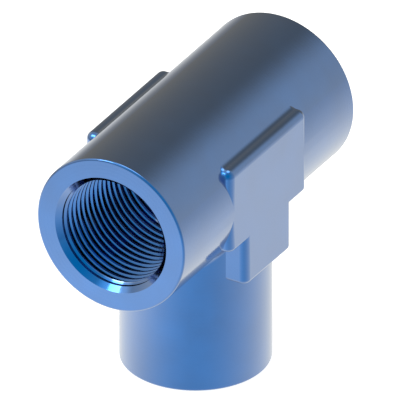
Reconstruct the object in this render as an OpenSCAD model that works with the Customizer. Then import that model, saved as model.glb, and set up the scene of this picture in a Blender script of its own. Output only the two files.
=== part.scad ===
// Female threaded pipe tee: a straight run with a branch at right angles,
// forged and bored in one piece, with a T-shaped wrench pad on each side.
// The part stands on its branch. The origin is the centre of the branch's end
// face, the branch rises along +Z and the run lies along Y above it.
// The three ports are bored to the crest diameter of their pipe thread.

/* [Run] */
// Outside diameter of the run
run_od = 36; // [34:0.5:40]
// Length of the run between its two end faces
run_len = 72; // [68:1:100]

/* [Branch] */
// Outside diameter of the branch
branch_od = 32.4; // [30:0.2:33.6]
// Height of the run's axis above the branch's end face
axis_h = 46.8; // [46:0.2:60]
// Radius of the blend where the branch grows out of the run
blend_r = 2; // [1:0.1:2.4]

/* [Ports] */
// Crest diameter of the pipe thread, to which the ports are bored
bore_d = 24.12; // [20:0.02:25]
// Diameter of the countersink at an end face
mouth_d = 27.2; // [26.2:0.1:29]
// Diameter where the countersink meets the lead-in cone
lead_d = 25; // [25:0.1:26]
// Depth of the countersink
mouth_depth = 1.1; // [0.6:0.1:1.8]
// Depth at which the lead-in cone reaches the bore
lead_depth = 2.3; // [2:0.1:4]
// Depth of a port's bore from its end face, as far as the thread goes
port_depth = 30; // [20:0.5:31]
// Diameter of the waterway that joins the three ports
waterway_d = 19; // [12:0.5:19.8]
// Angle of the cone that the drill leaves at the end of a port's bore
drill_angle = 118; // [90:1:140]

/* [Wrench pads] */
// Width of a pad's upper part, along the run
pad_w = 32.4; // [26:0.2:40]
// Height of a pad's upper edge above the run's axis
pad_rise = 10.1; // [9:0.1:12]
// Depth of a pad's shoulders below the run's axis
shoulder_drop = 9.5; // [5:0.1:12]
// Width of a pad's stem
stem_w = 19.4; // [12:0.2:24]
// Depth of a stem's lower edge below the run's axis
stem_drop = 20.5; // [16:0.1:26]

/* [Edges] */
// Radius round the end faces of the run and the branch
end_round = 0.5; // [0.2:0.1:0.8]
// Radius of the pads' upright and upper edges
pad_round = 1.8; // [1.2:0.1:2]
// Radius of the pads' lower edges
pad_foot_round = 1; // [0.2:0.1:1.2]
// Radius of the fillet between a pad's upper face and the run
pad_fillet_r = 1.8; // [0.6:0.1:2.4]

/* [Hidden] */
$fn = 96;

run_r = run_od / 2;
branch_r = branch_od / 2;
bore_r = bore_d / 2;
mouth_r = mouth_d / 2;
lead_r = lead_d / 2;
waterway_r = waterway_d / 2;
// A pad's flat face touches the run's barrel along one line
pad_face = run_r;
// The fillet ends on a pad's upper face before that face's round outer edge
fillet_room = ((pad_face - pad_round) ^ 2 - run_r ^ 2 + pad_rise ^ 2) / (2 * (run_r - pad_rise));
fillet_r = min(pad_fillet_r, fillet_room);
// Length of the cone between a port's bore and the waterway
drill_cone_h = (bore_r - waterway_r) / tan(drill_angle / 2);
// A cut starts this far outside the metal, so that it leaves no skin, and what
// a round edge takes off reaches this far past the faces that meet there
cut_over = 1;
edge_over = 0.1;
// How far a blend's surface sinks into the metal on each side, so that it meets
// that in a clean line, and how far the blend's root reaches beyond that
blend_sink = 0.05;
blend_root = 1;
// Sections round the branch, and steps across the arc of each
blend_sections = 72;
blend_steps = 6;

// What a round edge of radius r takes off a square corner, whose sides run
// along +X and +Y from the centre of the round
module edge_waste(r) {
    difference() {
        square(r + edge_over);
        circle(r = r);
    }
}

// Outline from the Y axis out to reach, its two outer corners rounded
module rounded_outline(reach, low, high, low_r, high_r) {
    difference() {
        translate([0, low]) square([reach, high - low]);
        translate([reach - high_r, high - high_r]) edge_waste(high_r);
        translate([reach - low_r, low + low_r]) mirror([0, 1]) edge_waste(low_r);
    }
}

module run_barrel() {
    translate([0, 0, axis_h])
        rotate([90, 0, 0])
            rotate_extrude()
                rounded_outline(run_r, -run_len / 2, run_len / 2, end_round, end_round);
}

module branch_barrel() {
    rotate_extrude() rounded_outline(branch_r, 0, axis_h, end_round, end_round);
}

function unit(v) = v / norm(v);

// Centre of a ball of radius blend_r that sinks into both barrels a little, at
// angle a round the branch
function ball_centre(a) =
    let (
        stand_off = blend_r - blend_sink,
        x = (branch_r + stand_off) * cos(a),
        y = (branch_r + stand_off) * sin(a)
    )
    [x, y, axis_h - sqrt((run_r + stand_off) ^ 2 - x ^ 2)];

// Direction at share s of the way from direction p to direction q
function turned(p, q, s) =
    let (w = acos(p * q))
    (p * sin((1 - s) * w) + q * sin(s * w)) / sin(w);

// One section of the blend: the ball's arc from the branch to the run, then
// round a root that lies inside the metal
function blend_section(a) =
    let (
        centre = ball_centre(a),
        to_branch = [-cos(a), -sin(a), 0],
        to_run = unit([-centre[0], 0, axis_h - centre[2]]),
        to_corner = unit(to_branch + to_run),
        root = blend_r + blend_root
    )
    [
        centre + root * to_branch,
        for (i = [0 : blend_steps]) centre + blend_r * turned(to_branch, to_run, i / blend_steps),
        centre + root * to_run,
        centre + root / (to_corner * to_run) * to_corner
    ];

// Ring of metal that fills the corner between the branch and the run
module blend_ring() {
    points = [for (k = [0 : blend_sections - 1]) each blend_section(360 * k / blend_sections)];
    n = len(points) / blend_sections;
    polyhedron(
        points = points,
        faces = [
            for (k = [0 : blend_sections - 1], i = [0 : n - 1])
                let (here = k * n, next = (k + 1) % blend_sections * n, j = (i + 1) % n)
                each [[here + i, here + j, next + j], [here + i, next + j, next + i]]
        ],
        convexity = 4
    );
}

// Block that reaches from the middle of the fitting to a pad's flat face, with
// round edges, of a smaller radius along its foot
module pad_block(width, low, high) {
    column_y = width / 2 - pad_round;
    translate([0, 0, axis_h]) {
        for (y = [-column_y, column_y])
            translate([pad_face - pad_round, y, 0])
                rotate_extrude()
                    rounded_outline(pad_round, low, high, pad_foot_round, pad_round);
        rotate([90, 0, 0])
            linear_extrude(2 * column_y, center = true)
                rounded_outline(pad_face, low, high, pad_foot_round, pad_round);
        rotate([90, 0, 90])
            linear_extrude(pad_face - pad_round)
                for (side = [0, 1])
                    mirror([side, 0])
                        rounded_outline(width / 2, low, high, pad_foot_round, pad_round);
    }
}

// Outline of a bobbin from its axis out: its waist leaves the fillet, and its
// rims round off the fillet's two ends
module bobbin_outline() {
    translate([0, -pad_w / 2 - cut_over]) square([fillet_r, pad_w + 2 * cut_over]);
    for (side = [0, 1])
        mirror([0, side])
            translate([fillet_r + pad_round, pad_w / 2 - pad_round])
                mirror([1, 0])
                    edge_waste(pad_round);
}

// Metal that fills the corner between a pad's upper face and the run
module pad_fillet() {
    centre_z = pad_rise + fillet_r - blend_sink;
    centre_x = sqrt((run_r + fillet_r - blend_sink) ^ 2 - centre_z ^ 2);
    to_pad = [0, -1];
    to_run = unit([-centre_x, -centre_z]);
    to_corner = unit(to_pad + to_run);
    root = fillet_r + pad_round / 2;
    translate([centre_x, 0, axis_h + centre_z])
        rotate([90, 0, 0])
            difference() {
                linear_extrude(pad_w, center = true)
                    polygon([
                        fillet_r * to_pad, fillet_r * to_run, root * to_run,
                        root / (to_corner * to_run) * to_corner, root * to_pad
                    ]);
                rotate_extrude() bobbin_outline();
            }
}

// T-shaped wrench pads, one on each side of the fitting
module wrench_pads() {
    for (side = [0, 1])
        mirror([side, 0, 0]) {
            pad_block(pad_w, -shoulder_drop, pad_rise);
            pad_block(stem_w, -stem_drop, 0);
            pad_fillet();
        }
}

// One port, cut from its end face along +Z: countersink, lead-in cone, bore and
// drill cone, then the waterway as far as the middle of the fitting
module port_cut(to_middle) {
    rotate_extrude()
        polygon([
            [0, -cut_over], [mouth_r, -cut_over], [mouth_r, 0],
            [lead_r, mouth_depth], [bore_r, lead_depth],
            [bore_r, port_depth], [waterway_r, port_depth + drill_cone_h],
            [waterway_r, to_middle], [0, to_middle]
        ]);
}

module ports() {
    port_cut(axis_h);
    for (end = [-90, 90])
        translate([0, 0, axis_h])
            rotate([end, 0, 0])
                translate([0, 0, -run_len / 2]) port_cut(run_len / 2);
}

module tee_body() {
    color("cornflowerblue")
        difference() {
            union() {
                run_barrel();
                branch_barrel();
                blend_ring();
                wrench_pads();
            }
            ports();
        }
}

tee_body();
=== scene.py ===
"""Female threaded pipe tee in blue anodised aluminium, dressed for its photograph.

The turned and milled body is built from plain solids, a right-hand pipe thread is
cut into each of its three ports, and a white studio with one camera is set round it.
"""

import math

import bmesh
import bpy
from bpy.props import FloatProperty, FloatVectorProperty, IntProperty, PointerProperty
from mathutils import Matrix, Vector


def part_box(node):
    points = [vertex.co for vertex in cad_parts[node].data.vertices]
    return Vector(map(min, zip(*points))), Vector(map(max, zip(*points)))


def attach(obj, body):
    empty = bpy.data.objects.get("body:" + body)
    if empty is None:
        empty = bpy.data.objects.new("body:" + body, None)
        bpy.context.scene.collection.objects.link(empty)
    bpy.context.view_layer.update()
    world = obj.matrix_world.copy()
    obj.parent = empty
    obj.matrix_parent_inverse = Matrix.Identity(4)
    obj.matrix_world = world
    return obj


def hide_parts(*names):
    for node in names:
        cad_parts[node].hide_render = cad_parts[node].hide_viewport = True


bl_info = {
    "name": "Threaded pipe tee",
    "version": (1, 0, 0),
    "blender": (4, 5, 0),
    "location": "3D View > Sidebar > Pipe tee",
    "description": "Builds a female threaded pipe tee and the studio it stands in",
    "category": "Add Mesh",
}

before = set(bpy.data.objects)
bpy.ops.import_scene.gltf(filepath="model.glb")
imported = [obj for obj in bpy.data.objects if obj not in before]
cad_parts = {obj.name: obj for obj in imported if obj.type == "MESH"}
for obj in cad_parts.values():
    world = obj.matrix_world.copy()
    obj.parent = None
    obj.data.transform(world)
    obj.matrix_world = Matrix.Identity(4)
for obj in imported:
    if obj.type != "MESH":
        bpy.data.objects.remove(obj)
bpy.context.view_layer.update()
CAD_NODE = "tee_body"
LOW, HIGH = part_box(CAD_NODE)

MM = 0.001
PIECE = "threaded_tee"
FINISH = "Blue anodised aluminium"

# Flats round a barrel, and steps across the round edge at its end and at a pad's foot
BARREL_STEPS = 384
END_STEPS = 8
PAD_STEPS = 8
# Sections of the blend round the branch, and steps across the arc of each
BLEND_SECTIONS = 240
BLEND_STEPS = 16
# How far a blend or a fillet sinks into the metal, and how far its root reaches beyond that
BLEND_SINK = 0.01 * MM
BLEND_ROOT = 1 * MM
# A cut starts this far outside the metal, so that it leaves no skin
CUT_OVER = 1 * MM
# Points closer than the first are one point, and edges shorter than the second are slivers of a cut
SAME_POINT = 0.0001 * MM
SLIVER = 0.001 * MM
# Faces that meet at more than this keep a crisp edge between them
CRISP = math.radians(20)
# How much the larger faces count in the smooth shading, where 50 is as much as the small ones
LARGE_FACES = 80


# Properties


def length(name, description, default):
    """A length that the user can change, in metres, shown in the scene's unit."""
    return FloatProperty(
        name=name,
        description=description,
        default=default,
        min=0.0,
        precision=5,
        subtype="DISTANCE",
        unit="LENGTH",
    )


def linear(code):
    """A six-digit sRGB hex colour as linear red, green and blue."""
    parts = [int(code[i : i + 2], 16) / 255 for i in (0, 2, 4)]
    return tuple(c / 12.92 if c <= 0.04045 else ((c + 0.055) / 1.055) ** 2.4 for c in parts)


def colour(name, description, code):
    """A colour that the user can change, from its sRGB hex code."""
    return FloatVectorProperty(
        name=name, description=description, default=linear(code), size=3, min=0.0, max=1.0,
        subtype="COLOR",
    )


class TeeBody(bpy.types.PropertyGroup):
    """Sizes of the body's run, branch, pads and edges."""

    run_diameter: length("Run diameter", "Outside diameter of the run", round(HIGH.x - LOW.x, 5))
    run_length: length("Run length", "Length between the run's end faces", round(HIGH.y - LOW.y, 5))
    branch_diameter: length("Branch diameter", "Outside diameter of the branch", 32.4 * MM)
    axis_height: length("Axis height", "Height of the run's axis above the branch's end", 46.8 * MM)
    blend_radius: length("Blend radius", "Radius where the branch grows out of the run", 2 * MM)
    pad_width: length("Pad width", "Width of a pad's upper part, along the run", 32.4 * MM)
    pad_rise: length("Pad rise", "Height of a pad's upper edge above the run's axis", 10.1 * MM)
    shoulder_drop: length("Shoulder drop", "Depth of a pad's shoulders below the axis", 9.5 * MM)
    stem_width: length("Stem width", "Width of a pad's stem", 19.4 * MM)
    stem_drop: length("Stem drop", "Depth of a stem's lower edge below the axis", 20.5 * MM)
    end_round: length("End round", "Radius round the end faces", 0.5 * MM)
    pad_round: length("Pad round", "Radius of a pad's upright and upper edges", 1.8 * MM)
    foot_round: length("Foot round", "Radius of a pad's lower edges", 1 * MM)
    pad_fillet: length("Pad fillet", "Radius between a pad's upper face and the run", 1.8 * MM)


class TeePorts(bpy.types.PropertyGroup):
    """Sizes of a port's bore and of the thread in it."""

    mouth_diameter: length("Mouth diameter", "Diameter of the countersink at the end face", 27.2 * MM)
    mouth_depth: length("Mouth depth", "Depth of the countersink", 1.1 * MM)
    lead_diameter: length("Lead diameter", "Diameter of the plain lead-in before the thread", 25 * MM)
    lead_depth: length("Lead depth", "Depth at which the lead-in's chamfer reaches the bore", 2.3 * MM)
    crest_diameter: length("Crest diameter", "Diameter over the thread's crests", 24.12 * MM)
    root_diameter: length("Root diameter", "Diameter in the thread's grooves", 26.44 * MM)
    pitch: length("Pitch", "Distance from one groove to the next", 1.814 * MM)
    thread_start: length("Thread start", "Depth at which the first groove is cut", 2.64 * MM)
    port_depth: length("Port depth", "Depth of the bore and its thread", 30 * MM)
    waterway_diameter: length("Waterway diameter", "Diameter of the passage that joins the ports", 19 * MM)
    drill_cone: length("Drill cone", "Length of the cone between a bore and the waterway", 1.538 * MM)
    steps_per_turn: IntProperty(
        name="Steps per turn",
        description="Straight stretches in one turn of the thread",
        default=96,
        min=24,
        max=192,
    )


class TeeFinish(bpy.types.PropertyGroup):
    """Colours, shine, and edge wear with its painted rim highlight, of the anodised finish."""

    dye: colour("Dye", "Blue of the dyed oxide, looked at straight on", "0067B3")
    seal: colour("Seal", "Shine of the sealed oxide, looked at edge on", "E3E6E7")
    # The bare metal's colour lightens the edges, both as wear and as a painted highlight on the rims
    bare: colour("Bare metal", "Aluminium that shows where the film is thin", "D5DCE3")
    roughness: FloatProperty(
        name="Roughness", description="How far the finish spreads a reflection", default=0.1,
        min=0.0, max=1.0, subtype="FACTOR",
    )
    # Wear also sets how strong the painted highlight on the rims is
    wear: FloatProperty(
        name="Wear", description="How much bare metal shows along the edges", default=0.5,
        min=0.0, max=1.0, subtype="FACTOR",
    )


class TeeStage(bpy.types.PropertyGroup):
    """The camera's place and the strength of the studio's light."""

    azimuth: FloatProperty(
        name="Azimuth", description="Camera's angle round the tee from its front",
        default=math.radians(30), subtype="ANGLE", unit="ROTATION",
    )
    elevation: FloatProperty(
        name="Elevation", description="Camera's angle above the horizon",
        default=math.radians(30), subtype="ANGLE", unit="ROTATION",
    )
    view_width: length("View width", "Width of what the camera sees", 84.67 * MM)
    aim_right: length("Aim right", "How far right of the axes' crossing the camera aims", 0.93 * MM)
    aim_down: length("Aim down", "How far below the axes' crossing the camera aims", 8.07 * MM)
    back_light: FloatProperty(
        name="Back light", description="Brightness of the unlit back of the studio", default=0.25, min=0.0,
    )
    side_light: FloatProperty(
        name="Side light", description="What the lit walls add at the front and the right", default=0.45,
        min=0.0,
    )
    front_light: FloatProperty(
        name="Front light", description="What the front wall adds to that", default=0.15, min=0.0,
    )
    key_light: FloatProperty(
        name="Key light", description="Brightness of the round lamp at the upper left", default=5.0, min=0.0,
    )
    top_light: FloatProperty(
        name="Top light", description="Brightness of the soft panel nearly overhead", default=2.2, min=0.0,
    )


# Solids


def new_piece(name, mesh_data):
    """A mesh object of the scene from vertices and faces, its doubles merged and its faces outwards."""
    vertices, faces = mesh_data
    mesh = bpy.data.meshes.new(name)
    mesh.from_pydata([tuple(v) for v in vertices], [], faces)
    bm = bmesh.new()
    bm.from_mesh(mesh)
    bmesh.ops.remove_doubles(bm, verts=bm.verts, dist=SAME_POINT)
    bmesh.ops.recalc_face_normals(bm, faces=bm.faces)
    bm.to_mesh(mesh)
    bm.free()
    piece = bpy.data.objects.new(name, mesh)
    bpy.context.scene.collection.objects.link(piece)
    return piece


def stacked(loops):
    """Closed skin through loops of equal length, with a flat cap at each end."""
    count = len(loops[0])
    vertices = [p for loop in loops for p in loop]
    faces = [
        (k * count + i, k * count + (i + 1) % count, (k + 1) * count + (i + 1) % count, (k + 1) * count + i)
        for k in range(len(loops) - 1)
        for i in range(count)
    ]
    last = (len(loops) - 1) * count
    faces.append(tuple(range(count))[::-1])
    faces.append(tuple(range(last, last + count)))
    return vertices, faces


def turned(outline, segments, place=Matrix.Identity(4)):
    """Closed solid turned about Z from (radius, height) points, then put in its place.

    It is turned by half a step, so that a flat and not an edge faces along X and Y.
    """
    loops = []
    for radius, height in outline:
        angles = [2 * math.pi * (i + 0.5) / segments for i in range(segments)]
        loops.append([place @ Vector((radius * math.cos(a), radius * math.sin(a), height)) for a in angles])
    return stacked(loops)


def quarter(steps):
    """Sines and cosines from 0 to a right angle."""
    angles = [math.pi / 2 * k / steps for k in range(steps + 1)]
    return [(math.sin(a), math.cos(a)) for a in angles]


def rounded_bar(radius, low, high, edge):
    """Outline of a turned bar whose two ends are rounded."""
    bottom = [(radius - edge + edge * s, low + edge - edge * c) for s, c in quarter(END_STEPS)]
    top = [(radius - edge + edge * c, high - edge + edge * s) for s, c in quarter(END_STEPS)]
    return bottom + top


def pad_block(body, half_width, low, high, side):
    """Block from the middle of the tee to a pad's flat face, round on its outer edges."""
    face = body.run_diameter / 2
    big, small = body.pad_round, body.foot_round
    corner_arc = quarter(PAD_STEPS * 2)
    layers = [(small * (1 - s), low + small * (1 - c)) for s, c in quarter(PAD_STEPS)]
    layers += [(big * (1 - c), high - big + big * s) for s, c in corner_arc]
    loops = []
    for inset, height in layers:
        corner = big - inset
        loop = [(0.0, -(half_width - inset))]
        for turn, y, arc in (
            (-1, -(half_width - big), corner_arc[::-1]), (1, half_width - big, corner_arc)
        ):
            loop += [(face - big + corner * c, y + turn * corner * s) for s, c in arc]
        loop.append((0.0, half_width - inset))
        loops.append([(side * x, y, body.axis_height + height) for x, y in loop])
    return stacked(loops)


def blend_ring(body):
    """Ring of metal that a ball rolled along the corner of run and branch would leave."""
    run_r, branch_r, radius = body.run_diameter / 2, body.branch_diameter / 2, body.blend_radius
    off = radius - BLEND_SINK
    loops = []
    for k in range(BLEND_SECTIONS):
        a = 2 * math.pi * (k + 0.5) / BLEND_SECTIONS
        x, y = (branch_r + off) * math.cos(a), (branch_r + off) * math.sin(a)
        centre = Vector((x, y, body.axis_height - math.sqrt((run_r + off) ** 2 - x * x)))
        to_branch = Vector((-math.cos(a), -math.sin(a), 0))
        to_run = Vector((-x, 0, body.axis_height - centre.z)).normalized()
        to_corner = (to_branch + to_run).normalized()
        root = radius + BLEND_ROOT
        section = [centre + root * to_branch]
        section += [
            centre + radius * to_branch.slerp(to_run, i / BLEND_STEPS) for i in range(BLEND_STEPS + 1)
        ]
        section += [centre + root * to_run, centre + root / to_corner.dot(to_run) * to_corner]
        loops.append(section)
    count = len(loops[0])
    vertices = [p for loop in loops for p in loop]
    faces = []
    for k in range(BLEND_SECTIONS):
        here, there = k * count, (k + 1) % BLEND_SECTIONS * count
        for i in range(count):
            j = (i + 1) % count
            faces += [(here + i, here + j, there + j), (here + i, there + j, there + i)]
    return vertices, faces


def pad_fillet(body, side):
    """Metal that fills the corner between a pad's upper face and the run, its ends rounded off.

    Along its straight middle the skin has the fillet's radius. Towards each end the skin
    draws back into the corner on the round of the pad's own upright edge.
    """
    run_r, radius, end_r = body.run_diameter / 2, body.pad_fillet, body.pad_round
    off = radius - BLEND_SINK
    z = body.pad_rise + off
    x = math.sqrt((run_r + off) ** 2 - z * z)
    reach = math.atan2(x, z)
    straight = body.pad_width / 2 - end_r
    flare = math.sqrt(end_r ** 2 - (end_r - BLEND_ROOT + BLEND_SINK) ** 2)
    ends = [(straight + flare * (1 - c), flare * (1 - c)) for _, c in quarter(PAD_STEPS * 2)]
    layers = [(-y, t) for y, t in reversed(ends)] + ends
    loops = []
    for y, t in layers:
        skin = radius + end_r - math.sqrt(end_r ** 2 - t * t)
        arc = [(skin, i / BLEND_STEPS) for i in range(BLEND_STEPS + 1)]
        arc += [(radius + BLEND_ROOT, 1 - i / BLEND_STEPS) for i in range(BLEND_STEPS + 1)]
        loops.append([
            (
                side * (x - out * math.sin(share * reach)), y,
                body.axis_height + z - out * math.cos(share * reach),
            )
            for out, share in arc
        ])
    return stacked(loops)


def combined(piece, tool, operation):
    """Joins the tool to the piece or cuts it away, and throws the tool out."""
    step = piece.modifiers.new("combine", "BOOLEAN")
    step.operation = operation
    step.solver = "MANIFOLD"
    step.object = tool
    made = bpy.data.meshes.new_from_object(piece.evaluated_get(bpy.context.evaluated_depsgraph_get()))
    if not made.polygons:
        raise RuntimeError(f"{piece.name}: nothing was left after {operation} with {tool.name}")
    piece.modifiers.clear()
    old, piece.data = piece.data, made
    bpy.data.meshes.remove(old)
    bpy.data.objects.remove(tool)


def port_places(body):
    """Matrices that carry a port's own frame, its mouth at the origin and +Z inwards, to the three ports."""
    height, half = body.axis_height, body.run_length / 2
    return {
        "branch": Matrix.Identity(4),
        "front": Matrix.Translation((0, -half, height)) @ Matrix.Rotation(math.radians(-90), 4, "X"),
        "rear": Matrix.Translation((0, half, height)) @ Matrix.Rotation(math.radians(90), 4, "X"),
    }


# Nodes


def add_node(tree, kind, values=None):
    """Adds a node, and sets and links what it is given.

    A value that is another node's output is linked to the input of that name or number,
    any other value named like an input fills it, and the rest set the node's properties.
    """
    node = tree.nodes.new(kind)
    for key, value in (values or {}).items():
        if isinstance(value, bpy.types.NodeSocket):
            tree.links.new(value, node.inputs[key])
        elif isinstance(key, int) or key in node.inputs:
            node.inputs[key].default_value = value
        else:
            setattr(node, key, value)
    return node


# Thread, in Geometry Nodes

# Half the 55 degrees between the flanks of a pipe thread's groove
FLANK = math.radians(27.5)
# Half the width of the groove's flat root, as a share of the pitch
ROOT_FLAT = 1 / 40
# The cutting shape goes this share of the groove's depth past the crests, so that the cut is clean
PAST_CREST = 0.25
# At the helix's two ends it is drawn inwards by this many depths, clear of the metal
CLEAR = 1.3
# Turns over which it comes back out
RUN_OUT = 0.25


def thread_tree(material):
    """Node tree that sweeps a V groove along a helix about Z, easing in and out of the metal."""
    tree = bpy.data.node_groups.new("Pipe thread groove", "GeometryNodeTree")
    for name, kind in (
        ("Pitch", "NodeSocketFloat"),
        ("Crest Radius", "NodeSocketFloat"),
        ("Root Radius", "NodeSocketFloat"),
        ("Length", "NodeSocketFloat"),
        ("Run Out", "NodeSocketFloat"),
        ("Steps per Turn", "NodeSocketInt"),
    ):
        tree.interface.new_socket(name, in_out="INPUT", socket_type=kind)
    tree.interface.new_socket("Geometry", in_out="OUTPUT", socket_type="NodeSocketGeometry")
    given = tree.nodes.new("NodeGroupInput").outputs

    turns = add_node(
        tree, "ShaderNodeMath", {"operation": "DIVIDE", 0: given["Length"], 1: given["Pitch"]}
    ).outputs[0]
    groove = add_node(
        tree, "ShaderNodeMath", {"operation": "SUBTRACT", 0: given["Root Radius"], 1: given["Crest Radius"]}
    ).outputs[0]
    # Left as it is, the spiral turns clockwise, which would make a left-hand thread
    spiral = add_node(
        tree, "GeometryNodeCurveSpiral",
        {
            "Reverse": True, "Resolution": given["Steps per Turn"], "Rotations": turns,
            "Height": given["Length"], "Start Radius": given["Crest Radius"],
            "End Radius": given["Crest Radius"],
        },
    )

    # Turns to the nearer end of the helix, and how far inwards the groove is drawn there
    along = add_node(tree, "GeometryNodeSplineParameter").outputs["Factor"]
    nearer = add_node(tree, "ShaderNodeMath", {"operation": "PINGPONG", 0: along, 1: 0.5}).outputs[0]
    passed = add_node(tree, "ShaderNodeMath", {"operation": "MULTIPLY", 0: nearer, 1: turns}).outputs[0]
    inwards = add_node(tree, "ShaderNodeMath", {"operation": "MULTIPLY", 0: groove, 1: -CLEAR}).outputs[0]
    lift = add_node(
        tree, "ShaderNodeMapRange",
        {
            "interpolation_type": "SMOOTHSTEP", "Value": passed, "From Max": given["Run Out"],
            "To Min": inwards, "To Max": 0.0,
        },
    ).outputs[0]
    position = add_node(tree, "GeometryNodeInputPosition").outputs[0]
    flat = add_node(
        tree, "ShaderNodeVectorMath", {"operation": "MULTIPLY", 0: position, 1: (1, 1, 0)}
    ).outputs[0]
    outward = add_node(tree, "ShaderNodeVectorMath", {"operation": "NORMALIZE", 0: flat}).outputs[0]
    offset = add_node(
        tree, "ShaderNodeVectorMath", {"operation": "SCALE", 0: outward, "Scale": lift}
    ).outputs[0]
    eased = add_node(tree, "GeometryNodeSetPosition", {"Geometry": spiral.outputs[0], "Offset": offset})
    upright = add_node(tree, "GeometryNodeSetCurveNormal", {"mode": "Z_UP", "Curve": eased.outputs[0]})

    # Section of the groove: X points out from the axis and Y along it
    at_root = add_node(
        tree, "ShaderNodeMath", {"operation": "MULTIPLY", 0: given["Pitch"], 1: ROOT_FLAT}
    ).outputs[0]
    at_top = add_node(
        tree, "ShaderNodeMath",
        {"operation": "MULTIPLY_ADD", 0: groove, 1: (1 + PAST_CREST) * math.tan(FLANK), 2: at_root},
    ).outputs[0]
    inner = add_node(tree, "ShaderNodeMath", {"operation": "MULTIPLY", 0: groove, 1: -PAST_CREST}).outputs[0]
    below_root, below_top = (
        add_node(tree, "ShaderNodeMath", {"operation": "MULTIPLY", 0: half, 1: -1}).outputs[0]
        for half in (at_root, at_top)
    )
    corners = [
        add_node(tree, "ShaderNodeCombineXYZ", {"X": out, "Y": across}).outputs[0]
        for out, across in (
            (groove, below_root), (groove, at_root), (inner, at_top), (inner, below_top)
        )
    ]
    profile = add_node(
        tree, "GeometryNodeCurvePrimitiveQuadrilateral",
        {"mode": "POINTS", **{f"Point {i + 1}": corner for i, corner in enumerate(corners)}},
    )
    swept = add_node(
        tree, "GeometryNodeCurveToMesh",
        {"Fill Caps": True, "Curve": upright.outputs[0], "Profile Curve": profile.outputs[0]},
    )
    real = add_node(tree, "GeometryNodeRealizeInstances", {0: swept.outputs[0]})
    coated = add_node(tree, "GeometryNodeSetMaterial", {"Geometry": real.outputs[0], "Material": material})
    add_node(tree, "NodeGroupOutput", {0: coated.outputs[0]})
    return tree


def thread_groove(name, tree, values, place):
    """Plain mesh object of one port's groove, from the node tree with these values."""
    holder = bpy.data.objects.new(name, bpy.data.meshes.new(name))
    bpy.context.scene.collection.objects.link(holder)
    step = holder.modifiers.new("thread", "NODES")
    step.node_group = tree
    for item in tree.interface.items_tree:
        if item.in_out == "INPUT":
            step[item.identifier] = values[item.name]
    made = bpy.data.meshes.new_from_object(holder.evaluated_get(bpy.context.evaluated_depsgraph_get()))
    if not made.polygons:
        raise RuntimeError(f"{name}: the thread's node tree made nothing")
    holder.modifiers.clear()
    holder.data = made
    made.transform(place)
    return holder


# Finish

# Patches where the oxide took a little more dye or a little less, and how much
CLOUD = 9 * MM
CLOUDINESS = 0.2
# Satin grain left by tumbling. A real grain is about 0.05 mm, and is drawn coarse to show at all
GRAIN = 0.5 * MM
# Turning marks. A real feed is about 0.2 mm a turn, and is drawn coarse to show at all
FEED = 0.9 * MM
# Depth of the grain, as the bump node's distance, and that of the marks as a share of it
RELIEF = 0.005 * MM
MARKS = 0.18
# How much more and how much less than the set roughness the satin has, patch by patch
UNEVENNESS = 0.25
# How far in from an edge handling thins the film, which also paints a highlight on the rim, and the length of
# the worn patches along it
WEAR_AND_HIGHLIGHT_DEPTH = 0.5 * MM
WEAR_AND_HIGHLIGHT_PATCH = 2.5 * MM
# Openness towards the inside of the metal where the wear and its painted rim highlight start, and where they
# are full
WEAR_AND_HIGHLIGHT_START, WEAR_AND_HIGHLIGHT_FULL = 0.85, 0.5
# How soon the sealed film's own shine covers the dye as the metal turns away
SEAL_BLEND = 0.3


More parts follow.
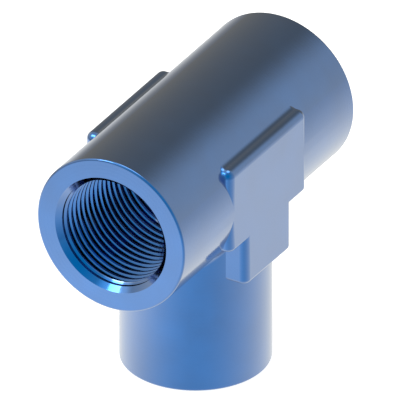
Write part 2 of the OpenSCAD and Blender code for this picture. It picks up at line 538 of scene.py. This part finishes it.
def anodised_aluminium(finish, body):
    """Blue anodised aluminium: turned, milled and tumbled metal under a thin, clear, dyed oxide film.

    Looked at straight on, the dye tints every reflection a deep blue. Towards the edges of the
    form the sealed film's own shine covers the dye, so the metal turns pale. Faint rings from
    the lathe and a satin grain soften the reflections, and the dye is slightly cloudy. Along the
    edges the paler bare metal is partly wear of the thin film and partly a painted highlight
    on the rims.
    """
    material = bpy.data.materials.new(FINISH)
    material.use_nodes = True
    tree = material.node_tree
    tree.nodes.clear()
    place = add_node(tree, "ShaderNodeTexCoord").outputs["Object"]

    # Distance out from an axis plus distance along it gives rings on the end faces and round the
    # barrels. The run's axis counts as far out as the run's surface, and the branch's beyond that
    from_axis = add_node(
        tree, "ShaderNodeVectorMath", {"operation": "SUBTRACT", 0: place, 1: (0, 0, body.axis_height)}
    ).outputs[0]
    spokes = [
        add_node(tree, "ShaderNodeVectorMath", {"operation": "MULTIPLY", 0: way, 1: across}).outputs[0]
        for way, across in ((from_axis, (1, 0, 1)), (place, (1, 1, 0)))
    ]
    run_out, branch_out = (
        add_node(tree, "ShaderNodeVectorMath", {"operation": "LENGTH", 0: spoke}).outputs["Value"]
        for spoke in spokes
    )
    along = add_node(tree, "ShaderNodeSeparateXYZ", {0: place}).outputs
    run_feed, branch_feed = (
        add_node(tree, "ShaderNodeMath", {"operation": "ADD", 0: out, 1: along[axis]}).outputs[0]
        for out, axis in ((run_out, "Y"), (branch_out, "Z"))
    )
    off_run = add_node(
        tree, "ShaderNodeMath",
        {"operation": "GREATER_THAN", 0: run_out, 1: body.run_diameter / 2 + body.blend_radius / 4},
    ).outputs[0]
    feed = add_node(tree, "ShaderNodeMix", {0: off_run, 2: run_feed, 3: branch_feed}).outputs[0]
    turn = add_node(
        tree, "ShaderNodeMath", {"operation": "MULTIPLY", 0: feed, 1: 2 * math.pi / FEED}
    ).outputs[0]
    rings = add_node(tree, "ShaderNodeMath", {"operation": "SINE", 0: turn}).outputs[0]

    grain, cloud, patch = (
        add_node(
            tree, "ShaderNodeTexNoise", {"Vector": place, "Scale": 1 / size, "Detail": detail}
        ).outputs[0]
        for size, detail in ((GRAIN, 2.0), (CLOUD, 3.0), (WEAR_AND_HIGHLIGHT_PATCH, 2.0))
    )
    relief = add_node(
        tree, "ShaderNodeMath", {"operation": "MULTIPLY_ADD", 0: rings, 1: MARKS, 2: grain}
    ).outputs[0]
    surface = add_node(tree, "ShaderNodeBump", {"Distance": RELIEF, "Height": relief}).outputs[0]
    smooth, rough = (share * finish.roughness for share in (1 - UNEVENNESS, 1 + UNEVENNESS))
    satin = add_node(
        tree, "ShaderNodeMapRange", {"Value": cloud, "To Min": smooth, "To Max": rough}
    ).outputs[0]

    deep, pale = ((*(share * c for c in finish.dye), 1) for share in (1 - CLOUDINESS, 1 + CLOUDINESS))
    dyed = add_node(tree, "ShaderNodeMix", {"data_type": "RGBA", 0: cloud, 6: deep, 7: pale}).outputs[2]
    # Looked at from the surface into the metal, the next face is near at an edge: there the film is worn, and
    # the paler metal is also a painted highlight on the rim
    openness = add_node(
        tree, "ShaderNodeAmbientOcclusion",
        {"inside": True, "only_local": True, "samples": 8, "Distance": WEAR_AND_HIGHLIGHT_DEPTH},
    ).outputs["AO"]
    edge = add_node(
        tree, "ShaderNodeMapRange", {"Value": openness, "From Min": WEAR_AND_HIGHLIGHT_START, "From Max": WEAR_AND_HIGHLIGHT_FULL}
    ).outputs[0]
    patchy_wear_and_highlight = add_node(tree, "ShaderNodeMath", {"operation": "MULTIPLY", 0: edge, 1: patch}).outputs[0]
    worn_and_highlit_edge = add_node(tree, "ShaderNodeMath", {"operation": "MULTIPLY", 0: patchy_wear_and_highlight, 1: finish.wear}).outputs[0]
    # Painted highlight: along the edges the dye turns towards bare metal, as wear and as a light rim
    dye_with_edge_highlight = add_node(
        tree, "ShaderNodeMix", {"data_type": "RGBA", 0: worn_and_highlit_edge, 6: dyed, 7: (*finish.bare, 1)}
    ).outputs[2]

    metal = add_node(
        tree, "ShaderNodeBsdfPrincipled",
        {"Base Color": dye_with_edge_highlight, "Metallic": 1.0, "Roughness": satin, "Normal": surface},
    )
    shine = add_node(
        tree, "ShaderNodeBsdfAnisotropic", {"Color": (*finish.seal, 1), "Roughness": satin, "Normal": surface}
    )
    facing = add_node(
        tree, "ShaderNodeLayerWeight", {"Blend": SEAL_BLEND, "Normal": surface}
    ).outputs["Facing"]
    both = add_node(tree, "ShaderNodeMixShader", {0: facing, 1: metal.outputs[0], 2: shine.outputs[0]})
    add_node(tree, "ShaderNodeOutputMaterial", {"Surface": both.outputs[0]})
    return material


# Studio


def towards(azimuth, elevation):
    """Direction at an angle round the tee from its front, and above the horizon, in degrees."""
    a, e = math.radians(azimuth), math.radians(elevation)
    return Vector((math.sin(a) * math.cos(e), -math.cos(a) * math.cos(e), math.sin(e)))


def cos_of(degrees):
    """Cosine of an angle in degrees."""
    return math.cos(math.radians(degrees))


# Where the key lamp, the dim back of the studio and the soft overhead panel are
KEY = towards(-45, 47)
UNLIT = towards(200, 15)
OVERHEAD = towards(-160, 82)
# Brightness of the soft glow round the key lamp
HALO = 0.9
# The key lamp's distance, and half the angle that it fills as seen from the tee
KEY_AWAY = 600 * MM
KEY_REACH = math.radians(9)
# The camera's distance, which changes nothing in a parallel view
EYE_AWAY = 400 * MM
# Half the floor's width
FLOOR_REACH = 4000 * MM
# Warm white of the studio's back, and the white of the paper on the floor
BACK_TINT = "FFF8E9"
PAPER_WHITE = "E7E7E7"
# The paper's own glow in the camera's view, which turns it white and leaves the shadow on it
PAPER_GLOW = 0.7
# How far from the tee the painted pool of light on the floor fades, and its strength in the middle
# before it is capped at 1, which keeps the painted light even close to the tee
PAINTED_POOL_REACH = 180 * MM
PAINTED_POOL_STRENGTH = 1.25


def studio_world(stage):
    """Studio round the tee: bright walls in front and to the right that fade into a dim, warm back."""
    world = bpy.data.worlds.new("Studio")
    world.use_nodes = True
    tree = world.node_tree
    tree.nodes.clear()
    way = add_node(tree, "ShaderNodeTexCoord").outputs["Generated"]
    unlit, key, overhead = (
        add_node(tree, "ShaderNodeVectorMath", {"operation": "DOT_PRODUCT", 0: way, 1: aim}).outputs["Value"]
        for aim in (UNLIT, KEY, OVERHEAD)
    )
    # Each light changes between two angles from a direction, from its value outside to that inside
    side, front, halo, panel = (
        add_node(
            tree, "ShaderNodeMapRange",
            {
                "interpolation_type": "SMOOTHSTEP", "Value": aim, "From Min": cos_of(wide),
                "From Max": cos_of(narrow), "To Min": outside, "To Max": inside,
            },
        ).outputs[0]
        for aim, wide, narrow, outside, inside in (
            (unlit, 52, 29, stage.side_light, 0),
            (unlit, 125, 75, stage.front_light, 0),
            (key, 28, 6, 0, HALO),
            (overhead, 24, 6, 0, stage.top_light),
        )
    )
    strength = side
    for more in (front, halo, panel):
        strength = add_node(tree, "ShaderNodeMath", {"operation": "ADD", 0: strength, 1: more}).outputs[0]
    walls = add_node(tree, "ShaderNodeBackground", {"Color": (1, 1, 1, 1), "Strength": strength})
    back = add_node(
        tree, "ShaderNodeBackground", {"Color": (*linear(BACK_TINT), 1), "Strength": stage.back_light}
    )
    light = add_node(tree, "ShaderNodeAddShader", {0: walls.outputs[0], 1: back.outputs[0]})
    white = add_node(tree, "ShaderNodeBackground", {"Color": (1, 1, 1, 1), "Strength": 1.0})
    path = add_node(tree, "ShaderNodeLightPath").outputs
    shown = add_node(
        tree, "ShaderNodeMixShader", {0: path["Is Camera Ray"], 1: light.outputs[0], 2: white.outputs[0]}
    )
    add_node(tree, "ShaderNodeOutputWorld", {"Surface": shown.outputs[0]})
    return world


def paper_and_painted_pool(stage):
    """Matt white paper under the tee, which in the metal's reflections glows with a painted pool of light.

    The camera sees it white with the tee's soft shadow. The metal sees the painted pool fade
    with distance into the studio behind, painted brighter at the front left and to the right.
    """
    material = bpy.data.materials.new("Matt white paper")
    material.use_nodes = True
    tree = material.node_tree
    tree.nodes.clear()
    place = add_node(tree, "ShaderNodeTexCoord").outputs["Object"]
    across = add_node(tree, "ShaderNodeSeparateXYZ", {0: place}).outputs["X"]
    # Distance towards the front left, and the square of the distance from the tee's foot
    front_left, far_squared = (
        add_node(
            tree, "ShaderNodeVectorMath", {"operation": "DOT_PRODUCT", 0: place, 1: way}
        ).outputs["Value"]
        for way in (towards(-45, 0), place)
    )
    spread = add_node(
        tree, "ShaderNodeMath", {"operation": "MULTIPLY_ADD", 0: far_squared, 1: 1 / PAINTED_POOL_REACH ** 2, 2: 1.0}
    ).outputs[0]
    pool = add_node(
        tree, "ShaderNodeMath", {"operation": "DIVIDE", "use_clamp": True, 0: PAINTED_POOL_STRENGTH, 1: spread}
    ).outputs[0]
    # Painted light on the floor: the floor behind the pool is painted brighter to the right, and the pool
    # brighter at the front left
    behind, lit = (
        add_node(
            tree, "ShaderNodeMapRange",
            {
                "interpolation_type": "SMOOTHSTEP", "Value": value, "From Min": low, "From Max": high,
                "To Min": at_low, "To Max": at_high,
            },
        ).outputs[0]
        for value, low, high, at_low, at_high in (
            (across, -200 * MM, 200 * MM, stage.back_light, stage.back_light + stage.side_light),
            (front_left, -20 * MM, 100 * MM, 0.94, 1.4),
        )
    )
    painted_glow_strength = add_node(tree, "ShaderNodeMix", {0: pool, 2: behind, 3: lit}).outputs[0]
    # Painted pool of light: an emission on the paper that only the metal's reflections see
    painted_pool_light = add_node(tree, "ShaderNodeEmission", {"Color": (1, 1, 1, 1), "Strength": painted_glow_strength})
    own = add_node(tree, "ShaderNodeEmission", {"Color": (1, 1, 1, 1), "Strength": PAPER_GLOW})
    paper = add_node(tree, "ShaderNodeBsdfDiffuse", {"Color": (*linear(PAPER_WHITE), 1)})
    seen = add_node(tree, "ShaderNodeAddShader", {0: own.outputs[0], 1: paper.outputs[0]})
    path = add_node(tree, "ShaderNodeLightPath").outputs
    unseen = add_node(
        tree, "ShaderNodeMixShader", {0: path["Is Glossy Ray"], 1: paper.outputs[0], 2: painted_pool_light.outputs[0]}
    )
    shown = add_node(
        tree, "ShaderNodeMixShader", {0: path["Is Camera Ray"], 1: unseen.outputs[0], 2: seen.outputs[0]}
    )
    add_node(tree, "ShaderNodeOutputMaterial", {"Surface": shown.outputs[0]})
    return material


# Operators


class TEE_OT_body(bpy.types.Operator):
    """Builds the body with its run, branch, blend and wrench pads, and bores its ports"""

    bl_idname = "tee.body"
    bl_label = "Body"

    def execute(self, context):
        body, ports = context.scene.tee_body, context.scene.tee_ports
        run_r, branch_r, half = body.run_diameter / 2, body.branch_diameter / 2, body.run_length / 2
        along_y = Matrix.Translation((0, 0, body.axis_height)) @ Matrix.Rotation(math.radians(90), 4, "X")
        run = turned(rounded_bar(run_r, -half, half, body.end_round), BARREL_STEPS, along_y)
        branch = turned(rounded_bar(branch_r, 0, body.axis_height, body.end_round), BARREL_STEPS)
        piece = new_piece(PIECE, run)
        parts = {"branch": branch, "blend": blend_ring(body)}
        for side, word in ((-1, "left"), (1, "right")):
            parts[f"pad_{word}"] = pad_block(
                body, body.pad_width / 2, -body.shoulder_drop, body.pad_rise, side
            )
            parts[f"stem_{word}"] = pad_block(body, body.stem_width / 2, -body.stem_drop, 0, side)
            parts[f"fillet_{word}"] = pad_fillet(body, side)
        for name, data in parts.items():
            combined(piece, new_piece(name, data), "UNION")
        mouth, lead, crest, way = (
            diameter / 2
            for diameter in (
                ports.mouth_diameter, ports.lead_diameter, ports.crest_diameter, ports.waterway_diameter
            )
        )
        # Countersink, a straight lead-in with a 45 degree chamfer to the bore, bore and drill cone
        port = [
            (mouth, -CUT_OVER), (mouth, 0),
            (lead, ports.mouth_depth), (lead, ports.lead_depth - (lead - crest)),
            (crest, ports.lead_depth), (crest, ports.port_depth),
            (way, ports.port_depth + ports.drill_cone),
        ]
        # The run is bored from mouth to mouth in one cut, so that no seam is left in its middle.
        # A bore has two flats to each straight stretch of its thread
        cuts = {
            "front": port + [(radius, body.run_length - depth) for radius, depth in reversed(port)],
            "branch": port + [(way, body.axis_height)],
        }
        places = port_places(body)
        for name, outline in cuts.items():
            tool = new_piece(f"cut_{name}", turned(outline, ports.steps_per_turn * 2, places[name]))
            combined(piece, tool, "DIFFERENCE")
        return {"FINISHED"}


class TEE_OT_threads(bpy.types.Operator):
    """Cuts the right-hand pipe thread into each port"""

    bl_idname = "tee.threads"
    bl_label = "Threads"

    def execute(self, context):
        body, ports = context.scene.tee_body, context.scene.tee_ports
        piece = bpy.data.objects[PIECE]
        tree = thread_tree(bpy.data.materials[FINISH])
        start = ports.thread_start
        values = {
            "Pitch": ports.pitch, "Crest Radius": ports.crest_diameter / 2,
            "Root Radius": ports.root_diameter / 2, "Length": ports.port_depth - start,
            "Run Out": RUN_OUT, "Steps per Turn": ports.steps_per_turn,
        }
        for name, place in port_places(body).items():
            at_start = place @ Matrix.Translation((0, 0, start))
            combined(piece, thread_groove(f"groove_{name}", tree, values, at_start), "DIFFERENCE")
        return {"FINISHED"}


class TEE_OT_finish(bpy.types.Operator):
    """Clears the cuts' slivers, smooths and coats the piece, and puts it in the plain body's place"""

    bl_idname = "tee.finish"
    bl_label = "Finish"

    def execute(self, context):
        piece = bpy.data.objects[PIECE]
        mesh = piece.data
        bm = bmesh.new()
        bm.from_mesh(mesh)
        bmesh.ops.dissolve_degenerate(bm, dist=SLIVER, edges=bm.edges)
        bmesh.ops.triangulate(bm, faces=bm.faces)
        bm.to_mesh(mesh)
        still_open = sum(len(edge.link_faces) != 2 for edge in bm.edges)
        bm.free()
        if still_open:
            raise RuntimeError(f"{PIECE}: {still_open} edges are not shared by two faces")
        mesh.materials.clear()
        mesh.materials.append(bpy.data.materials[FINISH])
        mesh.polygons.foreach_set("use_smooth", [True] * len(mesh.polygons))
        mesh.set_sharp_from_angle(angle=CRISP)
        step = piece.modifiers.new("even shading", "WEIGHTED_NORMAL")
        step.keep_sharp = True
        step.weight = LARGE_FACES
        made = bpy.data.meshes.new_from_object(piece.evaluated_get(bpy.context.evaluated_depsgraph_get()))
        piece.modifiers.clear()
        piece.data = made
        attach(piece, "root")
        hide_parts(CAD_NODE)
        return {"FINISHED"}


class TEE_OT_material(bpy.types.Operator):
    """Mixes the blue anodised finish"""

    bl_idname = "tee.material"
    bl_label = "Finish colour"

    def execute(self, context):
        anodised_aluminium(context.scene.tee_finish, context.scene.tee_body)
        return {"FINISHED"}


class TEE_OT_stage(bpy.types.Operator):
    """Sets the white floor, the studio's walls, the key lamp and the camera"""

    bl_idname = "tee.stage"
    bl_label = "Stage"

    def execute(self, context):
        stage, body = context.scene.tee_stage, context.scene.tee_body
        corners = [(x * FLOOR_REACH, y * FLOOR_REACH, 0) for x, y in ((-1, -1), (1, -1), (1, 1), (-1, 1))]
        floor = new_piece("floor", (corners, [(0, 1, 2, 3)]))
        floor.data.materials.append(paper_and_painted_pool(stage))
        context.scene.world = studio_world(stage)

        middle = Vector((0, 0, body.axis_height))
        radius = KEY_AWAY * math.tan(KEY_REACH)
        lamp = bpy.data.lights.new("key_lamp", "AREA")
        lamp.shape = "DISK"
        lamp.size = 2 * radius
        # Power in watts: pi times the brightness for each square metre of the disk's face
        lamp.energy = stage.key_light * math.pi * math.pi * radius ** 2
        holder = bpy.data.objects.new("key_lamp", lamp)
        holder.location = middle + KEY * KEY_AWAY
        holder.rotation_euler = KEY.to_track_quat("Z", "Y").to_euler()
        holder.visible_camera = False
        context.scene.collection.objects.link(holder)

        camera = bpy.data.cameras.new("camera")
        camera.type = "ORTHO"
        camera.ortho_scale = stage.view_width
        eye = bpy.data.objects.new("camera", camera)
        context.scene.collection.objects.link(eye)
        back = towards(math.degrees(stage.azimuth), math.degrees(stage.elevation))
        turn = back.to_track_quat("Z", "Y")
        aim = middle + turn @ Vector((stage.aim_right, -stage.aim_down, 0))
        eye.location = aim + back * EYE_AWAY
        eye.rotation_euler = turn.to_euler()
        context.scene.camera = eye
        context.scene.view_settings.view_transform = "Standard"
        return {"FINISHED"}


class TEE_PT_panel(bpy.types.Panel):
    """Sizes, colours and steps of the pipe tee"""

    bl_idname = "TEE_PT_panel"
    bl_label = "Threaded pipe tee"
    bl_space_type = "VIEW_3D"
    bl_region_type = "UI"
    bl_category = "Pipe tee"

    def draw(self, context):
        scene = context.scene
        for group in (scene.tee_body, scene.tee_ports, scene.tee_finish, scene.tee_stage):
            box = self.layout.box()
            for key in group.__annotations__:
                box.prop(group, key)
        for step in STEPS:
            self.layout.operator(step.bl_idname)


STEPS = (TEE_OT_material, TEE_OT_body, TEE_OT_threads, TEE_OT_finish, TEE_OT_stage)
GROUPS = (TeeBody, TeePorts, TeeFinish, TeeStage)


def register():
    """Registers the classes and gives the scene their settings."""
    for item in (*GROUPS, *STEPS, TEE_PT_panel):
        bpy.utils.register_class(item)
    bpy.types.Scene.tee_body = PointerProperty(type=TeeBody)
    bpy.types.Scene.tee_ports = PointerProperty(type=TeePorts)
    bpy.types.Scene.tee_finish = PointerProperty(type=TeeFinish)
    bpy.types.Scene.tee_stage = PointerProperty(type=TeeStage)


def unregister():
    """Takes the settings and the classes out again."""
    for name in ("tee_stage", "tee_finish", "tee_ports", "tee_body"):
        delattr(bpy.types.Scene, name)
    for item in reversed((*GROUPS, *STEPS, TEE_PT_panel)):
        bpy.utils.unregister_class(item)


def main():
    """Builds everything."""
    register()
    bpy.ops.tee.material()
    bpy.ops.tee.body()
    bpy.ops.tee.threads()
    bpy.ops.tee.finish()
    bpy.ops.tee.stage()


if __name__ == "__main__":
    main()
